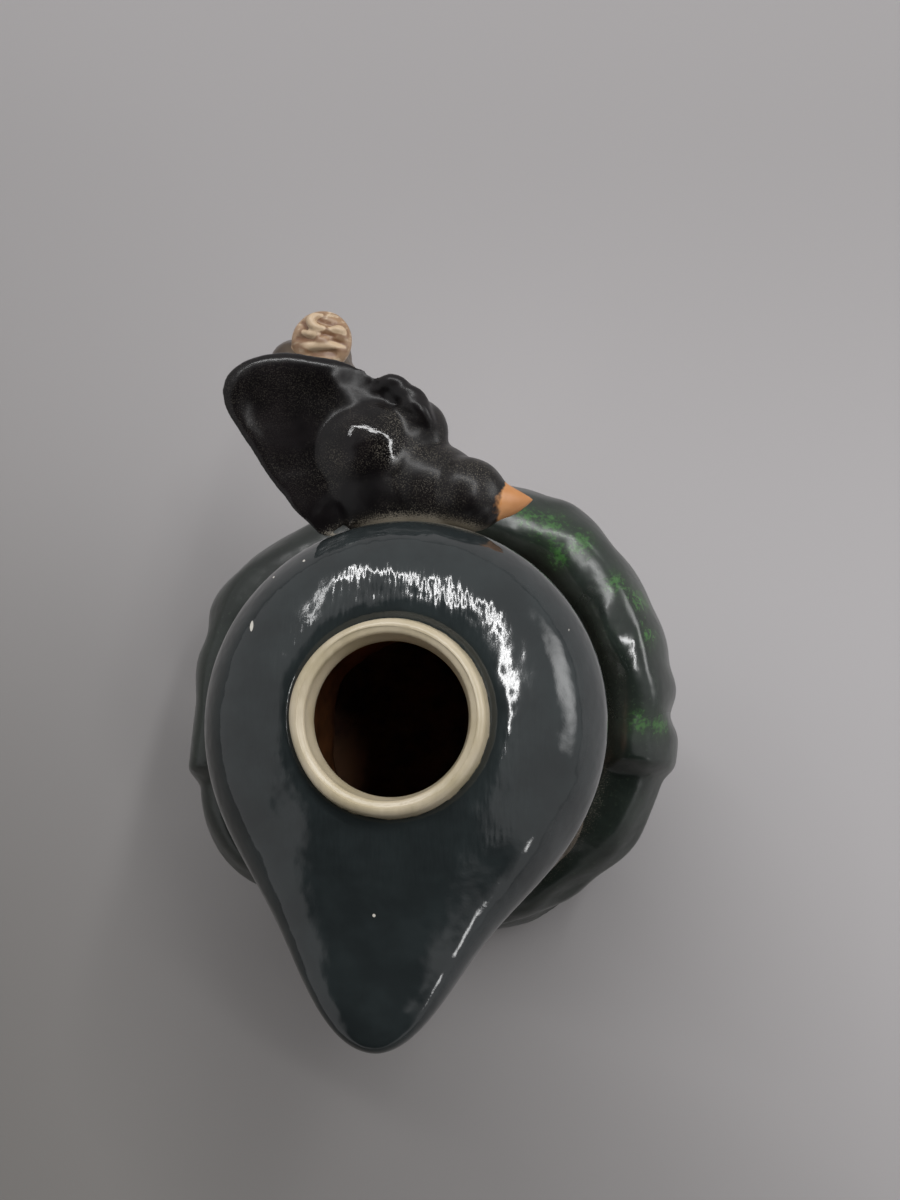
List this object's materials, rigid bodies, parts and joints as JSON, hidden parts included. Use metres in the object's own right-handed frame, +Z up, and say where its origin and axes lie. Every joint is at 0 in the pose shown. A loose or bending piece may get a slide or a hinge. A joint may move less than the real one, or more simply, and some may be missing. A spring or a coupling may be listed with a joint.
{
  "type": "toby jug",
  "caption": "Hollow glazed figure jug: bust of a bearded countryman in a peaked cap and cape, round mouth in the crown, tree-stump handle with a perched blackbird.",
  "frame": {"origin": "on the table under the middle of the jug's bounding box", "axes": "+Z up through the mouth, -Y the way the figure and the peak of its cap point, +Y towards the handle, +X the figure's left"},
  "size_m": [0.0834, 0.1152, 0.104],
  "materials": {
    "glazed_earthenware": "glossy transparent glaze over hand-painted cast earthenware: slate blue cap, dark green coat, black bird, brown stump, cream lip"
  },
  "bodies": {
    "root": {"toby_jug": "glazed_earthenware"}
  },
  "joints": []
}
